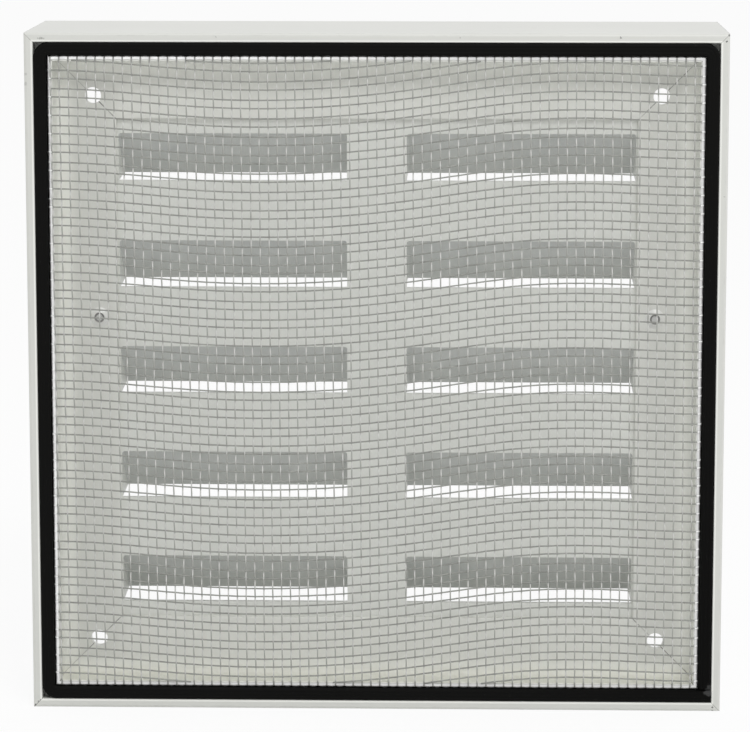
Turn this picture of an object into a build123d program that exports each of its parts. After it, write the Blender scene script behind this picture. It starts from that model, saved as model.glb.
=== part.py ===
"""Wall vent grille: a mitred frame, a louvred plate, an insect screen and a rubber seal.

Axes: +X to the right as seen from the front, +Y towards the wall behind, +Z up.
Origin: the middle of the wall face, where the seal presses on the wall.
A depth in this file is counted forward (-Y) from the rear rim of the frame, and an
inset is counted inward from the outer face of the frame. All sizes are in millimetres.
"""
from build123d import *
from math import atan2, cos
import os

# Overall size
width = 230.0
height = 226.0
depth = 63.0              # rear rim to front edge

# Profile of the four frame lengths
wall = 1.8                # outer wall
rim_width = 3.0           # thick rear rim outside the seal
groove_width = 4.9        # room for the seal and the turned edge of the screen
groove_depth = 5.2
groove_floor = 1.6
inner_wall = 1.2          # carries the screen on its rear edge
screen_recess = 1.0       # that rear edge lies this far below the rim
flange_depth = 11.2       # rear face of the flange
flange_thickness = 1.8
flange_reach = 29.0       # inset of the flange's free edge
rim_radius = 1.0
flange_root_radius = 2.0
edge_radius = 0.5

# Louvre plate and its ten hoods
sheet = 1.2
plate_clearance = 0.4     # between the plate's edge and the outer wall
rows = 5
columns = 2
row_pitch = 35.65
column_pitch = 95.4
slot_length = 75.6
slot_height = 15.7
hood_reach = 20.0         # rear face of the plate to the hood's lip
lip_rise = 0.6            # the lip ends this far above the slot's lower edge
bend_radius = 0.8         # inside the hood's folds
hood_root_bevel = 0.5

# Fixing holes and rivets
fixing_hole = 5.5
fixing_inset = 21.3       # from both outer faces, so each hole lies on a mitre
rivet_inset = 22.7
rivet_shank = 3.8
rivet_clearance = 0.1     # on the diameter, in the flange and the plate
rivet_head = 6.6
rivet_head_height = 1.0
rivet_tail = 5.4
rivet_tail_length = 3.0
stem = 2.2
stem_countersink = 3.4    # mouth of the hole in the rivet's head
stem_sunk = 0.35          # the broken stem ends below the head's face
stem_knob = 3.0           # the knob that spread the tail
stem_knob_length = 1.6

# Corner keys inside the frame's closed channel
key_clearance = 0.15
key_leg = 26.0
key_chamfer = 0.8

# Rubber seal
seal_width = 4.2
seal_side_gap = 0.05
seal_floor_gap = 0.05
seal_stand = 0.4          # the seal stands this proud of the rim
seal_corner = 5.0         # outer radius where the strip bends round a corner
seal_edge_bevel = 0.9
seal_joint = 0.4          # gap where the two ends of the strip meet

# Insect screen, a woven mat drawn as one wall with ridges and gaps
wire = 0.5
hem_thickness = 0.5       # the turned edge, beside the seal in the groove
hem_depth = 3.6
screen_columns = 9
screen_rows = 9
screen_bar = 3.4          # between two gaps
ridge_height = 0.4
ridge_end_gap = 0.3       # level ridges end short of the inner wall

# Helpers for cutting and picking
past = 1.0                # a cutting shape runs this far past the face that it cuts
touch = 0.01              # two places closer than this are one

# Worked out from the sizes above
rim_y = -seal_stand
flange_y = rim_y - flange_depth
plate_y = flange_y - flange_thickness
plate_front_y = plate_y - sheet
wall_inset = rim_width + groove_width
channel_depth = groove_depth + groove_floor
fixing_x = width / 2 - fixing_inset
fixing_z = height / 2 - fixing_inset
rivet_x = width / 2 - rivet_inset
rivet_z = row_pitch / 2


def save(node, shape):
    """Write one piece to its own file."""
    shape.label = node
    export_step(shape, f"parts/{node}.step")


def along_y(radius, y_from, y_to, x=0.0, z=0.0):
    """A round bar along Y."""
    length = abs(y_to - y_from)
    middle = (y_from + y_to) / 2
    return Pos(x, middle, z) * Rot(90, 0, 0) * Cylinder(radius, length)


def box_between(x0, x1, y0, y1, z0, z1):
    """A box given by its limits."""
    return Pos((x0 + x1) / 2, (y0 + y1) / 2, (z0 + z1) / 2) * Box(
        abs(x1 - x0), abs(y1 - y0), abs(z1 - z0))


def profile_block(inset_from, inset_to, depth_from, depth_to):
    """One limb of the frame profile, in the profile's own inset and depth."""
    middle = ((depth_from + depth_to) / 2, (inset_from + inset_to) / 2)
    return Pos(-middle[0], middle[1]) * Rectangle(depth_to - depth_from, inset_to - inset_from)


def corner_at(sketch, inset, at_depth):
    """The vertex of the profile nearest to an inset and a depth."""
    return sketch.vertices().sort_by_distance((-at_depth, inset, 0))[0]


def frame_profile():
    """Section of a frame length: X is minus the depth, Y is the inset."""
    inner_inset = wall_inset + inner_wall
    flange_front = flange_depth + flange_thickness
    profile = profile_block(0, wall, 0, depth)
    profile += profile_block(0, rim_width, 0, channel_depth)
    profile += profile_block(0, inner_inset, groove_depth, channel_depth)
    profile += profile_block(wall_inset, inner_inset, screen_recess, flange_front)
    profile += profile_block(0, flange_reach, flange_depth, flange_front)
    profile = fillet(corner_at(profile, 0, 0), rim_radius)
    profile = fillet(corner_at(profile, rim_width, 0), edge_radius)
    profile = fillet(corner_at(profile, inner_inset, flange_depth), flange_root_radius)
    profile = fillet(corner_at(profile, flange_reach, flange_depth), edge_radius)
    profile = fillet(corner_at(profile, 0, depth), edge_radius)
    profile = fillet(corner_at(profile, wall, depth), edge_radius)
    return profile


def frame_length(length):
    """A length of the profile with its outer face down and both ends mitred."""
    half = length / 2
    reach = flange_reach + past
    bar = extrude(Plane.YZ * frame_profile(), half, both=True)
    mitre = Polygon((-half, 0), (half, 0), (half - reach, reach), (-half + reach, reach), align=None)
    prism = extrude(Plane.XZ * mitre, depth + past, both=True)
    return Pos(0, rim_y, 0) * (bar & prism)


def drilled(piece):
    """Cut the four fixing holes and the two rivet holes through a piece."""
    for x in (-fixing_x, fixing_x):
        for z in (-fixing_z, fixing_z):
            piece -= along_y(fixing_hole / 2, flange_y + past, plate_front_y - past, x, z)
    rivet_hole = rivet_shank + rivet_clearance
    for x in (-rivet_x, rivet_x):
        piece -= along_y(rivet_hole / 2, flange_y + past, plate_front_y - past, x, rivet_z)
    return piece


def frame_lengths():
    """The four mitred lengths, each turned to its side of the frame."""
    return {
        "frame_bottom": drilled(Pos(0, 0, -height / 2) * frame_length(width)),
        "frame_top": drilled(Pos(0, 0, height / 2) * Rot(0, 180, 0) * frame_length(width)),
        "frame_left": drilled(Pos(-width / 2, 0, 0) * Rot(0, 90, 0) * frame_length(height)),
        "frame_right": drilled(Pos(width / 2, 0, 0) * Rot(0, -90, 0) * frame_length(height)),
    }


def corner_key():
    """An L-shaped key in the closed channel, at the lower left corner of the frame."""
    inset = wall + key_clearance
    thick = wall_inset - wall - 2 * key_clearance
    far = rim_y - flange_depth + key_clearance
    near = rim_y - channel_depth - key_clearance
    left = -width / 2 + inset
    low = -height / 2 + inset
    key = box_between(left, left + key_leg, near, far, low, low + thick)
    key += box_between(left, left + thick, near, far, low, low + key_leg)
    tips = key.faces().sort_by(Axis.X)[-1].edges() + key.faces().sort_by(Axis.Z)[-1].edges()
    return chamfer(tips, key_chamfer)


def corner_keys():
    """The four keys, mirrored from the lower left one."""
    key = corner_key()
    upper = mirror(key, Plane.XY)
    return {
        "corner_key_bottom_left": key,
        "corner_key_top_left": upper,
        "corner_key_bottom_right": mirror(key, Plane.YZ),
        "corner_key_top_right": mirror(upper, Plane.YZ),
    }


def hood_slope():
    """Fall of the hood for each millimetre of reach."""
    return (slot_height - lip_rise) / hood_reach


def hood_outside():
    """The solid wedge of one hood, with rounded folds to its cheeks."""
    skin = sheet / cos(atan2(slot_height - lip_rise, hood_reach))
    top = slot_height / 2 - sheet * hood_slope() + skin
    lip = -slot_height / 2 + lip_rise
    side = Polygon(
        (plate_front_y + sheet / 2, top + sheet / 2 * hood_slope()),
        (plate_y - hood_reach, lip + skin),
        (plate_y - hood_reach, lip),
        (plate_front_y + sheet / 2, -slot_height / 2),
        align=None)
    wedge = extrude(Plane.YZ * side, slot_length / 2 + sheet, both=True)
    folds = [edge for edge in wedge.edges() if slanted(edge)]
    return fillet(folds, bend_radius + sheet)


def hood_inside():
    """The room under one hood and the slot in the plate behind it."""
    toe = slot_height / hood_slope()
    side = Polygon(
        (plate_y, slot_height / 2),
        (plate_y - toe, -slot_height / 2),
        (plate_y, -slot_height / 2),
        align=None)
    wedge = extrude(Plane.YZ * side, slot_length / 2, both=True)
    folds = [edge for edge in wedge.edges() if slanted(edge)]
    return fillet(folds, bend_radius)


def slanted(edge):
    """True for the edges that run down the slope of a hood's upper side."""
    direction = edge % 0.5
    return abs(abs(direction.Z / direction.Y) - hood_slope()) < touch if direction.Y else False


def louvre_places():
    """Middle of each slot, in X and Z."""
    for column in range(columns):
        for row in range(rows):
            x = (column - (columns - 1) / 2) * column_pitch
            z = ((rows - 1) / 2 - row) * row_pitch
            yield x, z


def hood_roots(plate):
    """Edges where the top and the cheeks of each hood meet the front face of the plate."""
    front = plate.edges().filter_by_position(Axis.Y, plate_front_y - touch, plate_front_y + touch)
    return [edge for edge in front.filter_by(GeomType.LINE) if on_hood(edge @ 0.5)]


def on_hood(point):
    """True for a point on the outline of a hood, above the level of its lower edge."""
    for x, z in louvre_places():
        beside = abs(point.X - x) - (slot_length / 2 + sheet)
        above = point.Z - (z - slot_height / 2)
        if beside < touch and touch < above < row_pitch / 2 + slot_height / 2:
            return True
    return False


def louvre_plate():
    """The plate with a slot and a hood at each place."""
    inset = wall + plate_clearance
    plate = box_between(
        -width / 2 + inset, width / 2 - inset, plate_front_y, plate_y,
        -height / 2 + inset, height / 2 - inset)
    outside = hood_outside()
    inside = hood_inside()
    for x, z in louvre_places():
        plate += Pos(x, 0, z) * outside
    plate = chamfer(hood_roots(plate), hood_root_bevel)
    for x, z in louvre_places():
        plate -= Pos(x, 0, z) * inside
    return drilled(plate)


def rivet():
    """A blind rivet: head behind the flange, tail in front of the plate."""
    head_y = flange_y + rivet_head_height
    tail_y = plate_front_y - rivet_tail_length
    head_r = rivet_head / 2
    tail_r = rivet_tail / 2
    outline = Polyline(
        (stem / 2, tail_y),
        (tail_r, tail_y),
        (tail_r, plate_front_y),
        (rivet_shank / 2, plate_front_y),
        (rivet_shank / 2, flange_y),
        (head_r, flange_y),
        (stem_countersink / 2, head_y),
        (stem / 2, head_y - (stem_countersink - stem) / 2),
        close=True)
    return Pos(0, 0, rivet_z) * revolve(make_face(outline), Axis.Y)


def rivet_stem():
    """The broken stem that stays in a rivet, with the knob that spread the tail."""
    end_y = flange_y + rivet_head_height - stem_sunk
    tail_y = plate_front_y - rivet_tail_length
    body = along_y(stem / 2, tail_y, end_y, 0, rivet_z)
    knob = along_y(stem_knob / 2, tail_y - stem_knob_length, tail_y, 0, rivet_z)
    return body + knob


def rivets():
    """The two rivets and their stems, one at each side of the plate."""
    return {
        "rivet_left": Pos(-rivet_x, 0, 0) * rivet(),
        "rivet_right": Pos(rivet_x, 0, 0) * rivet(),
        "rivet_stem_left": Pos(-rivet_x, 0, 0) * rivet_stem(),
        "rivet_stem_right": Pos(rivet_x, 0, 0) * rivet_stem(),
    }


def rubber_seal():
    """One strip round the groove, bent at three corners and butted at the fourth."""
    outer_inset = rim_width + seal_side_gap
    inner_inset = outer_inset + seal_width
    floor_y = rim_y - groove_depth + seal_floor_gap
    joint_x = -width / 2 + outer_inset
    joint_z = -height / 2 + outer_inset
    outer = Rectangle(width - 2 * outer_inset, height - 2 * outer_inset)
    bends = outer.vertices().sort_by_distance((joint_x, joint_z, 0))[1:]
    outer = fillet(bends, seal_corner)
    inner = Rectangle(width - 2 * inner_inset, height - 2 * inner_inset)
    ring = Pos(0, floor_y, 0) * extrude(Plane.XZ * (outer - inner), floor_y)
    ring = chamfer(ring.faces().sort_by(Axis.Y)[-1].edges(), seal_edge_bevel)
    slit_z = joint_z + seal_width
    slit = box_between(
        joint_x - past, joint_x + seal_width + past, floor_y - past, past, slit_z, slit_z + seal_joint)
    return ring - slit


def screen_grid():
    """Pitch of the gaps across and up, over the width that the inner walls leave."""
    across = (width - 2 * wall_inset - screen_bar) / screen_columns
    up = (height - 2 * wall_inset - screen_bar) / screen_rows
    return across, up


def screen_ridges():
    """Wires that stand out of the bars: upright ones behind the wall, level ones before it."""
    across, up = screen_grid()
    back_y = rim_y - screen_recess
    inner_x = width - 2 * (wall_inset + inner_wall + ridge_end_gap)
    span_z = height - 2 * wall_inset
    upright = Pos(0, back_y + wire + ridge_height / 2, 0) * Box(wire, ridge_height, span_z)
    level = Pos(0, back_y - ridge_height / 2, 0) * Box(inner_x, ridge_height, wire)
    ridges = []
    for bar in range(1, screen_columns):
        ridges.append(Pos((bar - screen_columns / 2) * across, 0, 0) * upright)
    for bar in range(1, screen_rows):
        ridges.append(Pos(0, 0, (bar - screen_rows / 2) * up) * level)
    return ridges


def insect_screen():
    """The screen: a wall with gaps, ridges for its wires, and its edge turned into the groove."""
    across, up = screen_grid()
    span_x = width - 2 * wall_inset
    span_z = height - 2 * wall_inset
    back_y = rim_y - screen_recess
    gaps = GridLocations(across, up, screen_columns, screen_rows) * Rectangle(
        across - screen_bar, up - screen_bar)
    mat = Pos(0, back_y, 0) * extrude(Plane.XZ * (Rectangle(span_x, span_z) - gaps), -wire)
    hem = Rectangle(span_x + 2 * hem_thickness, span_z + 2 * hem_thickness) - Rectangle(span_x, span_z)
    turned_edge = Pos(0, back_y + wire, 0) * extrude(Plane.XZ * hem, hem_depth)
    return mat + screen_ridges() + turned_edge


os.makedirs("parts", exist_ok=True)
pieces = {}
pieces.update(frame_lengths())
pieces.update(corner_keys())
pieces["louvre_plate"] = louvre_plate()
pieces.update(rivets())
pieces["rubber_seal"] = rubber_seal()
pieces["insect_screen"] = insect_screen()
for name, piece in pieces.items():
    save(name, piece)
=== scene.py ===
"""Wall vent grille, seen from the side that goes to the wall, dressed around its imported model."""

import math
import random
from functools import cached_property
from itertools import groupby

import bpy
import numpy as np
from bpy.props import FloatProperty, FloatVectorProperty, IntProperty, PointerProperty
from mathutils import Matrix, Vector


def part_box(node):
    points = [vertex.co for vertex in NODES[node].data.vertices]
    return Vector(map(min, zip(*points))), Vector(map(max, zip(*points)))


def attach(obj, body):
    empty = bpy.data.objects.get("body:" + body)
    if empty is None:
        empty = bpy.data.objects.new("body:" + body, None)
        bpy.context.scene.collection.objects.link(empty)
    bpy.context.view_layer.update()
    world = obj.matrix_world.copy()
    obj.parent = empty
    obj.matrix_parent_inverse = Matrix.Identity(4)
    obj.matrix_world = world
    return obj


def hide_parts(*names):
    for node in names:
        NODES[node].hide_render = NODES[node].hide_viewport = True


bl_info = {
    "name": "Wall Vent Grille",
    "version": (1, 0, 0),
    "blender": (4, 5, 0),
    "location": "3D View > Sidebar > Vent Grille",
    "description": "Gives the packed wall vent grille its coat, woven screen, seal, fixings and stage",
    "category": "Object",
}

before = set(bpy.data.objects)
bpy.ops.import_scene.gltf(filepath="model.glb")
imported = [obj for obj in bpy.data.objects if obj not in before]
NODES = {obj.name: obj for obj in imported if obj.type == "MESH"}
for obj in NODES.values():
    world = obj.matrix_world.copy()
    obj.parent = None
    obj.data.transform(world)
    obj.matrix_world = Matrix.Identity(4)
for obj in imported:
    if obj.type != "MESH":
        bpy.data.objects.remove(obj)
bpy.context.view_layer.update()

MM = 0.001


# Sizes read from the frame

HALF_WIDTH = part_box("frame_right")[1].x
HALF_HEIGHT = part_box("frame_top")[1].z
SCREEN_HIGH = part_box("insect_screen")[1]
SEAL_LOW, SEAL_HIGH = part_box("rubber_seal")
PLATE_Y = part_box("louvre_plate")[1].y
RIVET_LOW, RIVET_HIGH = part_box("rivet_left")
RIVET_X = abs(RIVET_LOW.x + RIVET_HIGH.x) / 2
RIVET_Z = (RIVET_LOW.z + RIVET_HIGH.z) / 2


# Places of changes in the look; where there are two values, the change starts at one and ends at the other.
# An inset is measured from the frame's nearest outer face, and a depth is negative in front of the seal.

INNER_WALL = 9.0 * MM                    # inset just short of the inner walls' inner faces
ARRIS_HIGHLIGHT = 2.1 * MM, 2.5 * MM               # inset where the painted highlight along the rim's inner arris begins
OUTER_EDGE = 0.3 * MM, 1.3 * MM          # inset where the rim's darker outer edge ends
WALL_LIGHT_STRIP = 12 * MM, 16 * MM          # inset where the flange's painted light strip along the inner walls ends
FLANGE_SIDE_SHADE = 24 * MM, 32 * MM           # inset where the painted shade on the flange's two sides ends
FLANGE_FOOT = -104 * MM, -100 * MM       # height where the flange's yellowed foot ends
RIM_FRONT = -0.5 * MM                    # depth just in front of the rim's face
CHIPS_FRONT = -1.5 * MM                  # depth to which chips reach round the rim's edge
WALL_REAR = -1.4 * MM                    # depth of the inner walls' rear edges
HOOD_SHADE_FRONT = 0.1 * MM                     # how far in front of the plate's back the painted shade in the hoods starts
SEAM_HALF = 0.05 * MM, 0.17 * MM         # least and greatest half width of a mitre's hairline
SEAM_INSIDE = 0.08 * MM                  # what it is wider on the flange
HOLLOW = 1.6 * MM, 1.8 * MM              # radius where the painted shade in the hollow round a rivet's stem ends
UPRIGHT_BEND_SHADE = 2.6 * MM, 1.8 * MM        # distance from the screen's edge where the painted shade on the uprights' ends begins
LEVEL_BEND_HIGHLIGHT = 1.6 * MM, 1.1 * MM          # distance from its edge where the painted highlight on the level wires' ends begins
HEM_FOOT = 2 * MM, 6 * MM                # height above its lower edge where the hem's darker foot ends
TORN = 1.3 * MM, 2.1 * MM                # radius where the torn patch at the seal's butt joint ends
TORN_RAG = 0.8 * MM                      # how ragged that patch's outline is
TORN_INSET = 0.6 * MM                    # distance of its middle from the seal's outer side

CHIPS = (            # x, z and size in mm, and how dark, on the rear edge of the frame
    (-113.9, 110.5, 0.50, 1.0), (-114.6, 112.6, 0.35, 0.8), (-112.6, -111.5, 0.45, 1.0),
    (-112.7, -112.9, 0.40, 0.9), (114.2, -112.1, 0.40, 0.9), (113.4, -111.2, 0.35, 0.9),
    (112.5, -110.4, 0.30, 0.8), (110.3, 111.3, 0.35, 0.35), (109.7, 111.3, 0.40, 0.5),
    (109.1, 111.3, 0.40, 0.5), (108.5, 111.25, 0.35, 0.4), (107.9, 111.2, 0.30, 0.3),
    (-27.5, 111.6, 0.30, 0.6), (-79.5, 111.7, 0.40, 0.7), (52.0, 111.9, 0.35, 0.3),
    (114.4, 96.3, 0.80, 0.25), (114.3, 99.6, 0.60, 0.25), (-114.0, 60.0, 0.35, 0.3),
)
CHIP_RAG = 1.2 * MM                      # how ragged a chip's outline is

GRAIN = {            # how fine each unevenness is, in waves to the metre
    "coat peel": 900.0, "coat clouds": 18.0, "chip outline": 900.0, "rim edge patches": 120.0,
    "seam width": 260.0, "seam filling": 220.0, "hood shade": 90.0,
    "rubber dust": 700.0, "torn outline": 500.0, "rubber grain": 1800.0,
    "upright tone": 120.0, "level tone": 150.0, "hem tone": 350.0, "wire grain": 4000.0,
    "rivet scuffs": 1500.0, "stem grain": 3000.0,
}

BEND_STEPS = 4           # segments of a wire's bend over the inner wall
HEM_STEPS = 4            # segments of the hem between two wires
SHOULDER_STEPS = 6       # segments of a rounded edge of the seal
CORNER_STEPS = 12        # segments of a bend of the seal
SPARE_WIRES = 4          # wires tried past each edge of the screen, as no wire is in its middle
SHORTEST_RUN = 4         # points of the shortest stretch of a level wire that is kept
SIDE_WIRES = 3           # widths of a wire that the upright wires keep from the screen's two sides
FURROW_PLACE = 0.3       # place of the seal's furrows, as a share of half its width


# Sizes and colours that a user would change

def length(name, description, default):
    """A length property, in metres, with its default given in millimetres."""
    return FloatProperty(name=name, description=description, default=default * MM, unit="LENGTH", precision=5)


def colour(name, description, default):
    """A linear colour property."""
    return FloatVectorProperty(
        name=name, description=description, default=default, size=3, min=0, max=1, subtype="COLOR")


class VentScreenSizes(bpy.types.PropertyGroup):
    """Sizes of the woven insect screen."""
    wire: length("Wire", "Diameter of the wires", 0.5)
    upright_pitch: length("Upright pitch", "Distance between two upright wires", 2.962)
    level_pitch: length("Level pitch", "Distance between two level wires", 3.02)
    upright_start: length("Upright start", "Place of one upright wire, from the middle", 2.245)
    level_start: length("Level start", "Height of one level wire, from the middle", 1.95)
    upright_crimp: length("Upright crimp", "How far the upright wires swing to each side of the mat", 0.4)
    level_crimp: length("Level crimp", "How far the level wires swing to each side of the mat", 0.1)
    lean: FloatProperty(
        name="Lean", description="Sideways drift of the upright wires per unit of height", default=0.0055)
    pairing: length("Pairing", "How far every other level wire sits from even spacing", 0.16)
    drift: FloatVectorProperty(
        name="Drift", description="How far the level wires wander in one, two, three and more half waves",
        default=(4.1 * MM, 1.9 * MM, -1.6 * MM, -0.3 * MM, -0.3 * MM), size=5, unit="LENGTH", precision=5)
    fray: length("Fray", "How much shorter than the others a wire may be cut", 0.25)
    turned_edge: length("Turned edge", "How far the wires run down into the groove", 3.2)
    bend: length("Bend", "Radius of the wires' bend over the inner wall", 0.7)
    hem_width: length("Hem width", "Width of the folded edge that lies on the inner wall", 1.3)
    hem_back: length("Hem back", "How far the folded edge stays back from the seal", 0.08)
    scallop: length("Scallop", "How far the folded edge swells between two upright wires", 0.22)
    steps: IntProperty(name="Steps", description="Segments of a wire between two crossings", default=3)
    sides: IntProperty(name="Sides", description="Sides of a wire", default=6)


class VentSealSizes(bpy.types.PropertyGroup):
    """Sizes of the rubber seal."""
    width: length("Width", "Width of the strip", 4.2)
    slit: length("Slit", "Gap between the strip's two ends", 0.4)
    shoulder: length("Shoulder", "Radius of the strip's two upper edges", 0.9)
    furrow: length("Furrow", "Depth of the two fine furrows along the strip", 0.12)
    furrow_half: length("Furrow half", "Half of a furrow's width", 0.25)
    corner: length("Corner", "Outer radius of the strip's bends", 5.0)


class VentColours(bpy.types.PropertyGroup):
    """Colours of the grille's finishes."""
    coat: colour("Frame coat", "Powder coat of the frame", (0.70, 0.706, 0.668))
    # painted light: the flange's coat is lighter than the frame coat, standing in for light in the recess
    # behind the screen
    flange_lit_coat: colour("Sheltered coat", "Cleaner coat of the flange behind the screen", (0.85, 0.855, 0.81))
    cream: colour("Cream coat", "Slightly yellowed coat along the foot of the flange", (0.89, 0.89, 0.815))
    plate: colour("Plate coat", "Powder coat of the louvre plate", (0.83, 0.84, 0.80))
    seam: colour("Seam", "Hairline between two mitred lengths", (0.14, 0.14, 0.13))
    rubber: colour("Rubber", "Black rubber of the seal", (0.0035, 0.0035, 0.0032))
    upright_wire: colour("Upright wire", "Grey metal of the upright wires", (0.40, 0.405, 0.38))
    level_wire: colour("Level wire", "Darker metal of the level wires", (0.242, 0.248, 0.228))
    # painted light: a pale colour for the upright wires wherever they lean upwards
    upright_light: colour("Wire dust", "Pale dust on top of the upright wires", (0.70, 0.70, 0.68))
    # painted highlight: a near-white colour for the folded edge of the screen
    hem: colour("Hem", "Bright metal of the screen's edge, folded over the wall", (0.96, 0.96, 0.95))
    # painted shade: a darker grey for the coat inside the hoods, in place of the shade there
    hood_shade: colour("Hood dust", "Grey dust on the coat inside the hoods", (0.60, 0.615, 0.60))
    chip: colour("Chip", "Bare, dirty metal where the coat is chipped", (0.10, 0.10, 0.095))
    aluminium: colour("Aluminium", "Bare metal of the rivets", (0.84, 0.84, 0.82))
    steel: colour("Steel", "Broken stems of the rivets", (0.50, 0.50, 0.49))
    # painted shade: a dark grey for the hollow round a rivet's stem
    hollow_shade: colour("Grime", "Dirt in the hollow round a rivet's stem", (0.32, 0.32, 0.31))
    cut_rubber: colour("Cut rubber", "Paler rubber at the seal's butt joint", (0.055, 0.055, 0.055))
    floor: colour("Floor", "Pale floor", (0.95, 0.95, 0.95))


class VentStageSizes(bpy.types.PropertyGroup):
    """Camera, lamp and floor."""
    camera: FloatVectorProperty(
        name="Camera", description="Place of the camera", default=(-0.0301, 1.1596, 0.1905),
        subtype="TRANSLATION")
    view: FloatVectorProperty(
        name="View", description="Direction of the camera's view", default=(0.02585, -0.98693, -0.15908),
        subtype="DIRECTION")
    lens: FloatProperty(name="Lens", description="Focal length in millimetres", default=171.0)
    sensor: FloatProperty(name="Sensor", description="Sensor width in millimetres", default=36.0)
    lamp: FloatVectorProperty(
        name="Lamp", description="Place of the lamp", default=(-0.36, 1.05, 1.15), subtype="TRANSLATION")
    lamp_size: length("Lamp size", "Side of the lamp", 500)
    lamp_power: FloatProperty(name="Lamp power", description="Power of the lamp in watts", default=8.9)
    sky: FloatProperty(name="Sky", description="Strength of the light from all around", default=0.68)
    floor_glow: FloatProperty(
        name="Floor glow", description="Share of the floor that looks white in any light", default=0.9)
    floor_reach: length("Floor reach", "How far the floor runs each way from the middle", 12000)
    floor_drop: length("Floor drop", "Gap between the floor and the frame's foot", 0.1)


def screen_sizes():
    """The screen's sizes, as set in the scene."""
    return bpy.context.scene.vent_screen


def seal_sizes():
    """The seal's sizes, as set in the scene."""
    return bpy.context.scene.vent_seal


def colours():
    """The colours, as set in the scene."""
    return bpy.context.scene.vent_colours


def stage_sizes():
    """The stage's sizes, as set in the scene."""
    return bpy.context.scene.vent_stage


# Building materials

def rgba(value):
    """A colour with full alpha."""
    return (value[0], value[1], value[2], 1.0)


def shade(value, share):
    """A colour made darker or lighter by a share."""
    return tuple(min(1.0, part * share) for part in value[:3]) + (1.0,)


class Shader:
    """The nodes of a material or of the world, with short ways to add and join them."""

    def __init__(self, owner):
        self.owner = owner
        owner.use_nodes = True
        self.tree = owner.node_tree
        self.tree.nodes.clear()

    def add(self, kind, inputs=None, **settings):
        """A node with its settings, its input values and its links."""
        made = self.tree.nodes.new("ShaderNode" + kind)
        for name, value in settings.items():
            setattr(made, name, value)
        for name, value in (inputs or {}).items():
            if isinstance(value, bpy.types.NodeSocket):
                self.tree.links.new(value, made.inputs[name])
            else:
                made.inputs[name].default_value = value
        return made

    @cached_property
    def place(self):
        """A point of the surface, in the grille's own frame."""
        return self.add("TexCoord").outputs["Object"]

    @cached_property
    def axes(self):
        """The three coordinates of that point."""
        return self.split(self.place)

    @cached_property
    def flat(self):
        """That point without its depth."""
        return self.add("CombineXYZ", {0: self.axes[0], 2: self.axes[2]}).outputs[0]

    @cached_property
    def facing(self):
        """The three parts of the way the surface faces."""
        return self.split(self.add("NewGeometry").outputs["Normal"])

    def split(self, vector):
        """The three parts of a vector."""
        parts = self.add("SeparateXYZ", {0: vector}).outputs
        return parts[0], parts[1], parts[2]

    def math(self, operation, first, second=0.0, clamp=False):
        """The result of one sum."""
        return self.add("Math", {0: first, 1: second}, operation=operation, use_clamp=clamp).outputs[0]

    def times(self, first, *others):
        """Values multiplied."""
        for other in others:
            first = self.math("MULTIPLY", first, other)
        return first

    def vector(self, operation, first, second=(0.0, 0.0, 0.0), output="Vector"):
        """The result of one sum with vectors."""
        return self.add("VectorMath", {0: first, 1: second}, operation=operation).outputs[output]

    def noise(self, grain, detail=2.0, roughness=0.5, output="Fac"):
        """Soft random values from 0 to 1."""
        return self.add("TexNoise", {
            "Vector": self.place, "Scale": GRAIN[grain], "Detail": detail,
            "Roughness": roughness}).outputs[output]

    def ramp(self, value, low, high, to_low=0.0, to_high=1.0):
        """A value carried smoothly from one range to another."""
        return self.add("MapRange", {
            "Value": value, "From Min": low, "From Max": high, "To Min": to_low, "To Max": to_high},
            interpolation_type="SMOOTHSTEP").outputs["Result"]

    def patches(self, grain, detail=2.0, roughness=0.5, spread=(0.3, 0.7), reach=(0.0, 1.0)):
        """Random patches: the part of a noise within the spread, carried to the reach."""
        return self.ramp(self.noise(grain, detail, roughness), *spread, *reach)

    def mix(self, factor, first, second):
        """Two colours mixed."""
        return self.add("Mix", {0: factor, 6: first, 7: second}, data_type="RGBA").outputs[2]

    def bump(self, height, distance):
        """A surface raised by a height."""
        return self.add("Bump", {"Height": height, "Distance": distance}).outputs["Normal"]

    def surface(self, base, rough, normal, specular=0.5, metal=0.0):
        """The material with its finished surface."""
        return self.finish(self.add("BsdfPrincipled", {
            "Base Color": base, "Roughness": rough, "Normal": normal, "Specular IOR Level": specular,
            "Metallic": metal}))

    def finish(self, shader, output="OutputMaterial"):
        """The material or world, with a shader joined to its output."""
        self.add(output, {"Surface": shader.outputs[0]})
        return self.owner


def new_material(name):
    """The nodes of a new material."""
    return Shader(bpy.data.materials.new(name))


def coat_colour(shader, tint):
    """A coat that is a touch darker in soft clouds."""
    return shader.mix(shader.patches("coat clouds", 3.0), rgba(tint), shade(tint, 0.965))


def coat_surface(shader, base, rough):
    """The finish of a powder coat, with its fine ripples."""
    ripples = shader.bump(shader.noise("coat peel"), 0.03 * MM)
    return shader.surface(base, rough, ripples, specular=0.45)


def flange_colour(shader, in_x, inset):
    """The coat behind the screen, painted lighter as light in the recess: painted shade at both sides, a
    painted light strip by the inner wall, yellowed at the foot.
    """
    tint = colours().flange_lit_coat
    base = coat_colour(shader, tint)
    # painted shade: both sides of the flange darkened
    base = shader.mix(shader.ramp(in_x, *FLANGE_SIDE_SHADE, 0.85, 0.0), base, shade(tint, 0.87))
    # painted light: a lighter strip of the flange along the inner walls, against the shade in that corner
    base = shader.mix(shader.ramp(inset, *WALL_LIGHT_STRIP, 0.8, 0.0), base, shade(tint, 1.12))
    return shader.mix(shader.ramp(shader.axes[2], *FLANGE_FOOT, 1.0, 0.0), base, rgba(colours().cream))


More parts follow.
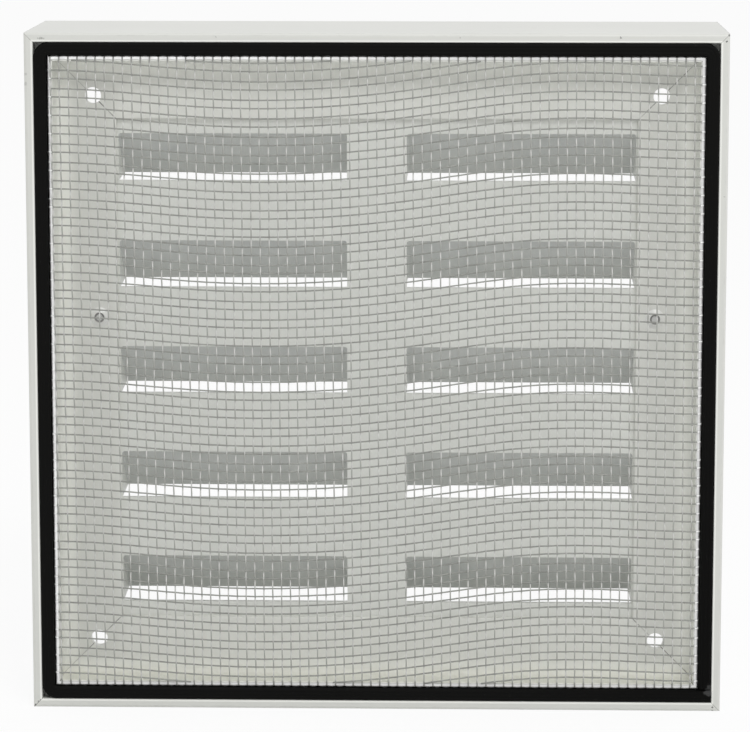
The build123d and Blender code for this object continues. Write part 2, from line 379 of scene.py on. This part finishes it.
def rim_colour(shader, base, inset):
    """The coat with painted shade on the rim's face, a painted highlight along its inner arris and darker
    patches along its outer edge.
    """
    tint = colours().coat
    on_rim = shader.math("GREATER_THAN", shader.axes[1], RIM_FRONT)
    # painted shade: the rim's face darkened
    base = shader.mix(shader.times(on_rim, 0.5), base, shade(tint, 0.85))
    outside = shader.math("LESS_THAN", inset, INNER_WALL)
    # painted highlight: a lighter band along the rim's inner arris
    base = shader.mix(shader.times(on_rim, shader.ramp(inset, *ARRIS_HIGHLIGHT), outside), base, shade(tint, 1.22))
    # darker in patches along the rim's outer edge
    edge_patches = shader.patches("rim edge patches", 4.0, 0.65, spread=(0.45, 0.75), reach=(0.0, 0.5))
    edge = shader.ramp(inset, *OUTER_EDGE, 1.0, 0.0)
    return shader.mix(shader.times(on_rim, edge, edge_patches), base, shade(tint, 0.6))


def mitre_seam(shader, in_x, in_z, inside):
    """How dark the uneven, partly filled hairline of a mitre is at a point."""
    off_mitre = shader.math("ABSOLUTE", shader.math("SUBTRACT", in_x, in_z))
    uneven = shader.patches("seam width", spread=(0.2, 0.8), reach=SEAM_HALF)
    half = shader.math("ADD", uneven, shader.times(inside, SEAM_INSIDE))
    filled = shader.patches("seam filling", spread=(0.35, 0.65), reach=(0.35, 1.0))
    return shader.times(shader.math("LESS_THAN", off_mitre, half), filled)


def chipped(shader):
    """How chipped or smudged the frame's rear edge is at a point."""
    ragged = shader.noise("chip outline", output="Color")
    ragged = shader.vector("SUBTRACT", ragged, (0.5, 0.5, 0.5))
    ragged = shader.vector("MULTIPLY", ragged, (CHIP_RAG, CHIP_RAG, CHIP_RAG))
    point = shader.vector("ADD", shader.flat, ragged)
    worn = 0.0
    for x, z, size, dark in CHIPS:
        away = shader.vector("DISTANCE", point, (x * MM, 0, z * MM), output="Value")
        spot = shader.ramp(away, 0.5 * size * MM, size * MM, dark, 0.0)
        worn = shader.math("MAXIMUM", worn, spot)
    return shader.times(worn, shader.math("GREATER_THAN", shader.axes[1], CHIPS_FRONT))


def frame_coat():
    """White powder coat with the hairlines of the mitres, a painted highlight along the inner arris, painted
    light and shade on the rim and flange, and small chips.
    """
    shader = new_material("frame_coat")
    x, y, z = shader.axes
    in_x = shader.math("SUBTRACT", HALF_WIDTH, shader.math("ABSOLUTE", x))
    in_z = shader.math("SUBTRACT", HALF_HEIGHT, shader.math("ABSOLUTE", z))
    inset = shader.math("MINIMUM", in_x, in_z)
    inside = shader.math("GREATER_THAN", inset, INNER_WALL)
    # painted light: inside the inner walls the frame gets the lighter flange coat
    base = shader.mix(inside, coat_colour(shader, colours().coat), flange_colour(shader, in_x, inset))
    base = rim_colour(shader, base, inset)
    base = shader.mix(mitre_seam(shader, in_x, in_z, inside), base, rgba(colours().seam))
    base = shader.mix(chipped(shader), base, rgba(colours().chip))
    return coat_surface(shader, base, 0.38)


def plate_coat():
    """The plate's powder coat, with painted shade on the rear-facing faces inside the hoods."""
    shader = new_material("plate_coat")
    backward = shader.math("GREATER_THAN", shader.facing[1], 0.02)
    in_hood = shader.math("LESS_THAN", shader.axes[1], PLATE_Y - HOOD_SHADE_FRONT)
    # painted shade on the rear-facing faces inside the hoods, in soft patches
    hood_shaded = shader.times(backward, in_hood, shader.patches("hood shade", 3.0, reach=(0.8, 1.0)))
    base = shader.mix(hood_shaded, coat_colour(shader, colours().plate), rgba(colours().hood_shade))
    return coat_surface(shader, base, 0.42)


def rubber():
    """Black rubber with a dull, finely dusted surface, torn at the butt joint."""
    shader = new_material("seal_rubber")
    tint = colours().rubber
    dust = shader.patches("rubber dust", 4.0, 0.6, spread=(0.62, 0.8))
    base = shader.mix(dust, rgba(tint), shade(tint, 5))
    joint = (SEAL_LOW.x + TORN_INSET, 0, SEAL_LOW.z + seal_sizes().width)
    away = shader.vector("DISTANCE", shader.flat, joint, output="Value")
    ragged = shader.patches("torn outline", spread=(0.2, 0.8), reach=(-TORN_RAG, TORN_RAG))
    torn = shader.ramp(shader.math("ADD", away, ragged), *TORN, 1.0, 0.0)
    base = shader.mix(torn, base, rgba(colours().cut_rubber))
    return shader.surface(base, 0.6, shader.bump(shader.noise("rubber grain", 3.0), 0.03 * MM), specular=0.07)


def wire_surface(shader, base, metal=0.0):
    """The finish of the screen's metal, dull or more or less bare."""
    return shader.surface(base, 0.45, shader.bump(shader.noise("wire grain"), 0.01 * MM), metal=metal)


def upright_metal():
    """Dull grey wire with painted light wherever it leans upwards, and painted shade at its ends where it
    bends over the wall.
    """
    shader = new_material("upright_wire")
    tint = colours().upright_wire
    # painted light: lighter where the wire faces upwards
    base = shader.mix(shader.ramp(shader.facing[2], -0.15, 0.45), rgba(tint), rgba(colours().upright_light))
    base = shader.mix(shader.patches("upright tone", 3.0, reach=(0.0, 0.25)), base, rgba(tint))
    up = shader.math("ABSOLUTE", shader.axes[2])
    # painted shade: the uprights darker at their ends over the wall
    bend = shader.ramp(up, *[SCREEN_HIGH.z - away for away in UPRIGHT_BEND_SHADE])
    return wire_surface(shader, shader.mix(bend, base, shade(tint, 0.65)))


def level_metal():
    """Darker dull wire, with a painted highlight at its two ends where it bends over the wall."""
    shader = new_material("level_wire")
    tint = colours().level_wire
    base = shader.mix(shader.patches("level tone", 3.0), rgba(tint), shade(tint, 1.35))
    across = shader.math("ABSOLUTE", shader.axes[0])
    # painted highlight: the level wires' ends take the hem's near-white colour
    bend = shader.ramp(across, *[SCREEN_HIGH.x - away for away in LEVEL_BEND_HIGHLIGHT])
    return wire_surface(shader, shader.mix(bend, base, rgba(colours().hem)))


def hem_metal():
    """Metal painted near white as a highlight along the folded edge, with a fine grain, painted shade towards
    one side and darker along the foot.
    """
    shader = new_material("screen_hem")
    tint = colours().hem
    # painted highlight: the folded edge near white, with a random duller tone
    base = shader.mix(shader.patches("hem tone", 3.0, spread=(0.35, 0.75)), rgba(tint), shade(tint, 0.8))
    # painted shade: the hem darker towards one side
    side = shader.ramp(shader.axes[0], -0.5 * HALF_WIDTH, 0.5 * HALF_WIDTH, 0.55, 0.0)
    # darker along the hem's foot
    foot = shader.ramp(shader.axes[2], *[away - SCREEN_HIGH.z for away in HEM_FOOT], 0.45, 0.0)
    base = shader.mix(shader.math("MAXIMUM", side, foot), base, shade(tint, 0.58))
    return wire_surface(shader, base, metal=0.85)


def rivet_metal():
    """Bare aluminium, lightly scuffed, with painted shade in the hollow round the stem."""
    shader = new_material("bare_aluminium")
    scuffs = shader.noise("rivet scuffs", 4.0, 0.6)
    beside = shader.math("SUBTRACT", shader.math("ABSOLUTE", shader.axes[0]), RIVET_X)
    above = shader.math("SUBTRACT", shader.axes[2], RIVET_Z)
    out = shader.add("CombineXYZ", {0: beside, 2: above}).outputs[0]
    # painted shade in the hollow round the stem
    hollow = shader.ramp(shader.vector("LENGTH", out, output="Value"), *HOLLOW, 1.0, 0.0)
    base = shader.mix(hollow, rgba(colours().aluminium), rgba(colours().hollow_shade))
    rough = shader.ramp(scuffs, 0.3, 0.7, 0.35, 0.55)
    return shader.surface(base, rough, shader.bump(scuffs, 0.02 * MM), metal=0.2)


def stem_metal():
    """Dark broken steel."""
    shader = new_material("stem_steel")
    tint = colours().steel
    grain = shader.noise("stem grain", 4.0, 0.7)
    base = shader.mix(grain, rgba(tint), shade(tint, 1.3))
    return shader.surface(base, 0.5, shader.bump(grain, 0.05 * MM), metal=0.2)


def give(material, *names):
    """Puts a material on CAD nodes."""
    for name in names:
        for slot in NODES[name].material_slots:
            slot.material = material


# Building meshes

def put(name, data, place=(0, 0, 0), towards=None):
    """An object in the scene, turned to look a given way."""
    made = bpy.data.objects.new(name, data)
    made.location = place
    if towards:
        made.rotation_euler = Vector(towards).to_track_quat("-Z", "Y").to_euler()
    bpy.context.scene.collection.objects.link(made)
    return made


def new_mesh(name, points, faces, material):
    """A mesh with its material."""
    mesh = bpy.data.meshes.new(name)
    mesh.from_pydata(points, [], faces)
    mesh.materials.append(material)
    return mesh


def make_piece(name, shape, material, node):
    """A smooth piece of given points and faces, which stands for a CAD node."""
    mesh = new_mesh(name, *shape, material)
    mesh.update()
    mesh.polygons.foreach_set("use_smooth", [True] * len(mesh.polygons))
    piece = put(name, mesh)
    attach(piece, "root")
    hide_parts(node)


def tubes(courses, radius, sides, side_axis):
    """Points and faces of round wires, one for each course, closed at both ends."""
    points = []
    faces = []
    angles = [2 * math.pi * side / sides for side in range(sides)]
    for course in courses:
        course = np.asarray(course)
        along = np.gradient(course, axis=0)
        along /= np.linalg.norm(along, axis=1)[:, None]
        lift = np.cross(along, np.asarray(side_axis))
        lift /= np.linalg.norm(lift, axis=1)[:, None]
        beside = np.cross(lift, along)
        rings = [course + radius * (math.cos(angle) * lift + math.sin(angle) * beside) for angle in angles]
        start = len(points)
        points.extend(map(tuple, np.stack(rings, axis=1).reshape(-1, 3)))
        last = len(points) - sides
        for ring in range(start, last, sides):
            for side in range(sides):
                after = (side + 1) % sides
                faces.append((ring + side, ring + sides + side, ring + sides + after, ring + after))
        faces.append(tuple(range(start, start + sides)))
        faces.append(tuple(range(last + sides - 1, last - 1, -1)))
    return points, faces


def skin(rings, size, round_section, closed_course):
    """Faces of a swept section, from one ring of its points to the next."""
    faces = []
    for ring in range(rings if closed_course else rings - 1):
        here, there = ring * size, (ring + 1) % rings * size
        for side in range(size if round_section else size - 1):
            after = (side + 1) % size
            faces.append((here + side, here + after, there + after, there + side))
    return faces


# The woven screen

def screen_plane():
    """Depth of the mat's middle, which lies on the inner walls' rear edges."""
    return WALL_REAR + screen_sizes().wire


def level_drift(x):
    """How far the level wires wander up and down on their way across."""
    share = (x / SCREEN_HIGH.x + 1) / 2
    return sum(
        drift * math.cos(math.pi * (wave + 1) * share) for wave, drift in enumerate(screen_sizes().drift))


def upright_place(number, z):
    """X of an upright wire at a height."""
    sizes = screen_sizes()
    return sizes.upright_start + number * sizes.upright_pitch + sizes.lean * z


def level_place(number, x):
    """Z of a level wire at a place across."""
    sizes = screen_sizes()
    paired = sizes.pairing * (-1 if number % 2 else 1)
    return sizes.level_start + number * sizes.level_pitch + paired + level_drift(x)


def turned_end(reach, sign):
    """The end of a wire: a bend over the inner wall and a straight run into the groove."""
    bend = screen_sizes().bend
    end = []
    for step in range(1, BEND_STEPS + 1):
        angle = math.pi / 2 * step / BEND_STEPS
        end.append((sign * (reach - bend + bend * math.sin(angle)), -bend * (1 - math.cos(angle))))
    end.append((sign * reach, -screen_sizes().turned_edge))
    return end


def wire_run(half, chance, pitch, swing):
    """How far along and how deep the points of a wire are, from one groove to the other.

    The swing is how far the weave pushes the wire out of the mat's middle at a place along it.
    """
    sizes = screen_sizes()
    ends = [half - sizes.wire / 2 + chance.uniform(-sizes.fray, 0) for end in range(2)]
    low, high = sizes.bend - ends[0], ends[1] - sizes.bend
    count = max(2, int((high - low) / pitch * sizes.steps))
    run = turned_end(ends[0], -1)[::-1]
    for point in range(count + 1):
        along = low + (high - low) * point / count
        run.append((along, swing(along) * min(1.0, (along - low) / pitch, (high - along) / pitch)))
    return run + turned_end(ends[1], 1)


def wire_numbers(half, pitch):
    """Numbers of the wires, from past one edge of the screen to past the other."""
    count = int(half / pitch) + SPARE_WIRES
    return range(-count, count)


def upright_courses():
    """Courses of the upright wires, from the lower groove to the upper one."""
    sizes = screen_sizes()
    chance = random.Random(7)
    courses = []
    for number in wire_numbers(SCREEN_HIGH.x, sizes.upright_pitch):
        if abs(upright_place(number, 0)) > SCREEN_HIGH.x - SIDE_WIRES * sizes.wire:
            continue

        def swing(z):
            row = (z - sizes.level_start - level_drift(upright_place(number, z))) / sizes.level_pitch
            return sizes.upright_crimp * math.cos(math.pi * (row + number))

        run = wire_run(SCREEN_HIGH.z, chance, sizes.level_pitch, swing)
        courses.append([(upright_place(number, z), screen_plane() + depth, z) for z, depth in run])
    return courses


def level_courses():
    """Courses of the level wires, from the groove at one side to the other."""
    sizes = screen_sizes()
    chance = random.Random(11)
    courses = []
    for number in wire_numbers(SCREEN_HIGH.z, sizes.level_pitch):

        def swing(x):
            column = (x - sizes.upright_start - sizes.lean * level_place(number, x)) / sizes.upright_pitch
            return -sizes.level_crimp * math.cos(math.pi * (column + number))

        run = wire_run(SCREEN_HIGH.x, chance, sizes.upright_pitch, swing)
        course = [(x, screen_plane() + depth, level_place(number, x)) for x, depth in run]
        courses.extend(runs_inside(course, SCREEN_HIGH.z - sizes.hem_width - sizes.wire / 2))
    return courses


def runs_inside(course, limit):
    """The stretches of a level wire that lie between the upper and the lower edge of the screen."""
    runs = [list(run) for inside, run in groupby(course, lambda point: abs(point[2]) < limit) if inside]
    return [run for run in runs if len(run) >= SHORTEST_RUN]


def hem_stations():
    """Places round the screen's edge, each with its way out and how far the fold swells there."""
    sizes = screen_sizes()
    stations = []
    for sign_x, sign_z, level in ((1, 1, True), (-1, 1, False), (-1, -1, True), (1, -1, False)):
        edge_x, edge_z = sign_x * SCREEN_HIGH.x, sign_z * SCREEN_HIGH.z
        start = edge_x if level else edge_z
        pitch = sizes.upright_pitch if level else sizes.level_pitch
        count = int(2 * abs(start) / pitch) * HEM_STEPS
        for step in range(count):
            along = start - 2 * start * step / count
            to_corner = abs(start) - abs(along)
            if step and to_corner < sizes.hem_width:
                continue
            swell = 0.0
            if level:
                wave = abs(math.sin(math.pi * (along - upright_place(0, edge_z)) / pitch))
                swell = sizes.scallop * wave * min(1.0, to_corner / pitch)
            x, z = (along, edge_z) if level else (edge_x, along)
            out = (0 if level and step else sign_x, sign_z if level or not step else 0)
            stations.append((x, z, *out, swell - sizes.hem_back))
    return stations


def hem_mesh():
    """The folded edge of the screen, a thin band that runs round the inner wall under the wires."""
    sizes = screen_sizes()
    depth = screen_plane() - sizes.level_crimp - sizes.wire / 2
    section = [(-sizes.hem_width, 0.0), (-sizes.bend, 0.0)] + turned_end(0.0, 1)
    points = [
        (x + out_x * (away + swell), depth + back, z + out_z * (away + swell))
        for x, z, out_x, out_z, swell in hem_stations() for away, back in section]
    return points, skin(len(points) // len(section), len(section), False, True)


class VENT_OT_screen(bpy.types.Operator):
    """Weave the insect screen from upright and level wires, and fold its edge"""
    bl_idname = "vent.screen"
    bl_label = "Insect screen"

    def execute(self, context):
        sizes = screen_sizes()
        uprights = tubes(upright_courses(), sizes.wire / 2, sizes.sides, (1, 0, 0))
        levels = tubes(level_courses(), sizes.wire / 2, sizes.sides, (0, 0, 1))
        make_piece("screen_upright_wires", uprights, upright_metal(), "insect_screen")
        make_piece("screen_level_wires", levels, level_metal(), "insect_screen")
        make_piece("screen_hem", hem_mesh(), hem_metal(), "insect_screen")
        return {"FINISHED"}


# The rubber seal

def seal_section():
    """Outline of the strip: across from its middle, and up from its foot."""
    sizes = seal_sizes()
    half = sizes.width / 2
    height = SEAL_HIGH.y - SEAL_LOW.y
    radius = sizes.shoulder
    outline = [(-half, 0.0), (-half, height - radius)]
    for step in range(1, SHOULDER_STEPS + 1):
        angle = math.pi / 2 * step / SHOULDER_STEPS
        outline.append((-half + radius * (1 - math.cos(angle)), height - radius * (1 - math.sin(angle))))
    for centre in (-half * FURROW_PLACE, half * FURROW_PLACE):
        outline.append((centre - sizes.furrow_half, height))
        outline.append((centre, height - sizes.furrow))
        outline.append((centre + sizes.furrow_half, height))
    for step in range(SHOULDER_STEPS):
        angle = math.pi / 2 * step / SHOULDER_STEPS
        outline.append((half - radius * (1 - math.sin(angle)), height - radius * (1 - math.cos(angle))))
    return outline + [(half, height - radius), (half, 0.0)]


def seal_course():
    """Middle of the strip and its way out at each point, from the butt corner round to the slit."""
    sizes = seal_sizes()
    half = sizes.width / 2
    radius = sizes.corner - half
    left, right = SEAL_LOW.x + half, SEAL_HIGH.x - half
    low, high = SEAL_LOW.z + half, SEAL_HIGH.z - half
    course = [(SEAL_LOW.x, low, 0.0, -1.0)]
    for x, z, start in ((right, low, -90), (right, high, 0), (left, high, 90)):
        centre_x, centre_z = x - math.copysign(radius, x), z - math.copysign(radius, z)
        for step in range(CORNER_STEPS + 1):
            angle = math.radians(start + 90 * step / CORNER_STEPS)
            out_x, out_z = math.cos(angle), math.sin(angle)
            course.append((centre_x + radius * out_x, centre_z + radius * out_z, out_x, out_z))
    course.append((left, SEAL_LOW.z + sizes.width + sizes.slit, -1.0, 0.0))
    return course


def seal_mesh():
    """The strip, with its three bends and two cut ends."""
    section = seal_section()
    course = seal_course()
    points = [
        (x + out_x * across, SEAL_LOW.y + up, z + out_z * across)
        for x, z, out_x, out_z in course for across, up in section]
    size = len(section)
    faces = skin(len(course), size, True, False)
    faces.append(tuple(reversed(range(size))))
    faces.append(tuple(range(len(points) - size, len(points))))
    return points, faces


class VENT_OT_seal(bpy.types.Operator):
    """Lay the rubber seal round the groove, with three bends and a butt joint"""
    bl_idname = "vent.seal"
    bl_label = "Rubber seal"

    def execute(self, context):
        make_piece("seal_strip", seal_mesh(), rubber(), "rubber_seal")
        return {"FINISHED"}


# The pieces whose shape stays as it is in the frame

class VENT_OT_metalwork(bpy.types.Operator):
    """Finish the frame, the plate, the corner keys and the rivets"""
    bl_idname = "vent.metalwork"
    bl_label = "Frame, plate and rivets"

    def execute(self, context):
        give(frame_coat(), "frame_top", "frame_bottom", "frame_left", "frame_right")
        give(plate_coat(), "louvre_plate")
        keys = [f"corner_key_{level}_{side}" for level in ("top", "bottom") for side in ("left", "right")]
        give(rivet_metal(), "rivet_left", "rivet_right", *keys)
        give(stem_metal(), "rivet_stem_left", "rivet_stem_right")
        return {"FINISHED"}


# The stage

def seen_white(shader):
    """1 for rays that should meet the white background: the camera's, and those in gloss and glass."""
    path = shader.add("LightPath")
    seen = shader.math("ADD", path.outputs["Is Camera Ray"], path.outputs["Is Glossy Ray"])
    return shader.math("ADD", seen, path.outputs["Is Transmission Ray"], clamp=True)


def floor_material():
    """A pale floor that looks white and keeps a soft shadow."""
    shader = new_material("stage_floor")
    matt = shader.add("BsdfDiffuse", {"Color": rgba(colours().floor)})
    glow = shader.add("Emission", {"Color": (1, 1, 1, 1), "Strength": 1.0})
    share = shader.times(seen_white(shader), stage_sizes().floor_glow)
    return shader.finish(shader.add("MixShader", {0: share, 1: matt.outputs[0], 2: glow.outputs[0]}))


def lay_floor():
    """A plain floor just under the frame."""
    sizes = stage_sizes()
    level = -HALF_HEIGHT - sizes.floor_drop
    corners = [(x * sizes.floor_reach, y * sizes.floor_reach, level)
               for x, y in ((-1, -1), (1, -1), (1, 1), (-1, 1))]
    put("stage_floor", new_mesh("stage_floor", corners, [(0, 1, 2, 3)], floor_material()))


def hang_lamp():
    """One soft lamp, turned to the middle of the grille."""
    sizes = stage_sizes()
    lamp = bpy.data.lights.new("main_lamp", "AREA")
    lamp.size = sizes.lamp_size
    lamp.energy = sizes.lamp_power
    put("main_lamp", lamp, sizes.lamp, -Vector(sizes.lamp))


def surroundings():
    """Even light from all around, which itself looks white."""
    shader = Shader(bpy.data.worlds.new("surroundings"))
    strength = shader.add("MapRange", {
        "Value": seen_white(shader), "To Min": stage_sizes().sky, "To Max": 1.0}).outputs["Result"]
    sky = shader.add("Background", {"Color": (1, 1, 1, 1), "Strength": strength})
    return shader.finish(sky, "OutputWorld")


def set_camera():
    """The camera, at the photograph's angle."""
    sizes = stage_sizes()
    camera = bpy.data.cameras.new("camera")
    camera.lens = sizes.lens
    camera.sensor_width = sizes.sensor
    camera.sensor_fit = "HORIZONTAL"
    camera.clip_end = 100.0
    return put("camera", camera, sizes.camera, sizes.view)


class VENT_OT_stage(bpy.types.Operator):
    """Set the floor, the lamp, the white surroundings and the camera"""
    bl_idname = "vent.stage"
    bl_label = "Stage"

    def execute(self, context):
        lay_floor()
        hang_lamp()
        context.scene.world = surroundings()
        context.scene.camera = set_camera()
        context.scene.view_settings.view_transform = "Standard"
        return {"FINISHED"}


class VENT_PT_panel(bpy.types.Panel):
    """Buttons for the pieces of the vent grille"""
    bl_idname = "VENT_PT_panel"
    bl_label = "Vent Grille"
    bl_space_type = "VIEW_3D"
    bl_region_type = "UI"
    bl_category = "Vent Grille"

    def draw(self, context):
        for operator in OPERATORS:
            self.layout.operator(operator.bl_idname)


OPERATORS = (VENT_OT_metalwork, VENT_OT_screen, VENT_OT_seal, VENT_OT_stage)
GROUPS = {
    "vent_screen": VentScreenSizes,
    "vent_seal": VentSealSizes,
    "vent_colours": VentColours,
    "vent_stage": VentStageSizes,
}


def register():
    for name, group in GROUPS.items():
        bpy.utils.register_class(group)
        setattr(bpy.types.Scene, name, PointerProperty(type=group))
    for operator in OPERATORS:
        bpy.utils.register_class(operator)
    bpy.utils.register_class(VENT_PT_panel)


def unregister():
    bpy.utils.unregister_class(VENT_PT_panel)
    for operator in reversed(OPERATORS):
        bpy.utils.unregister_class(operator)
    for name, group in reversed(GROUPS.items()):
        delattr(bpy.types.Scene, name)
        bpy.utils.unregister_class(group)


def main():
    register()
    bpy.ops.vent.metalwork()
    bpy.ops.vent.screen()
    bpy.ops.vent.seal()
    bpy.ops.vent.stage()


if __name__ == "__main__":
    main()
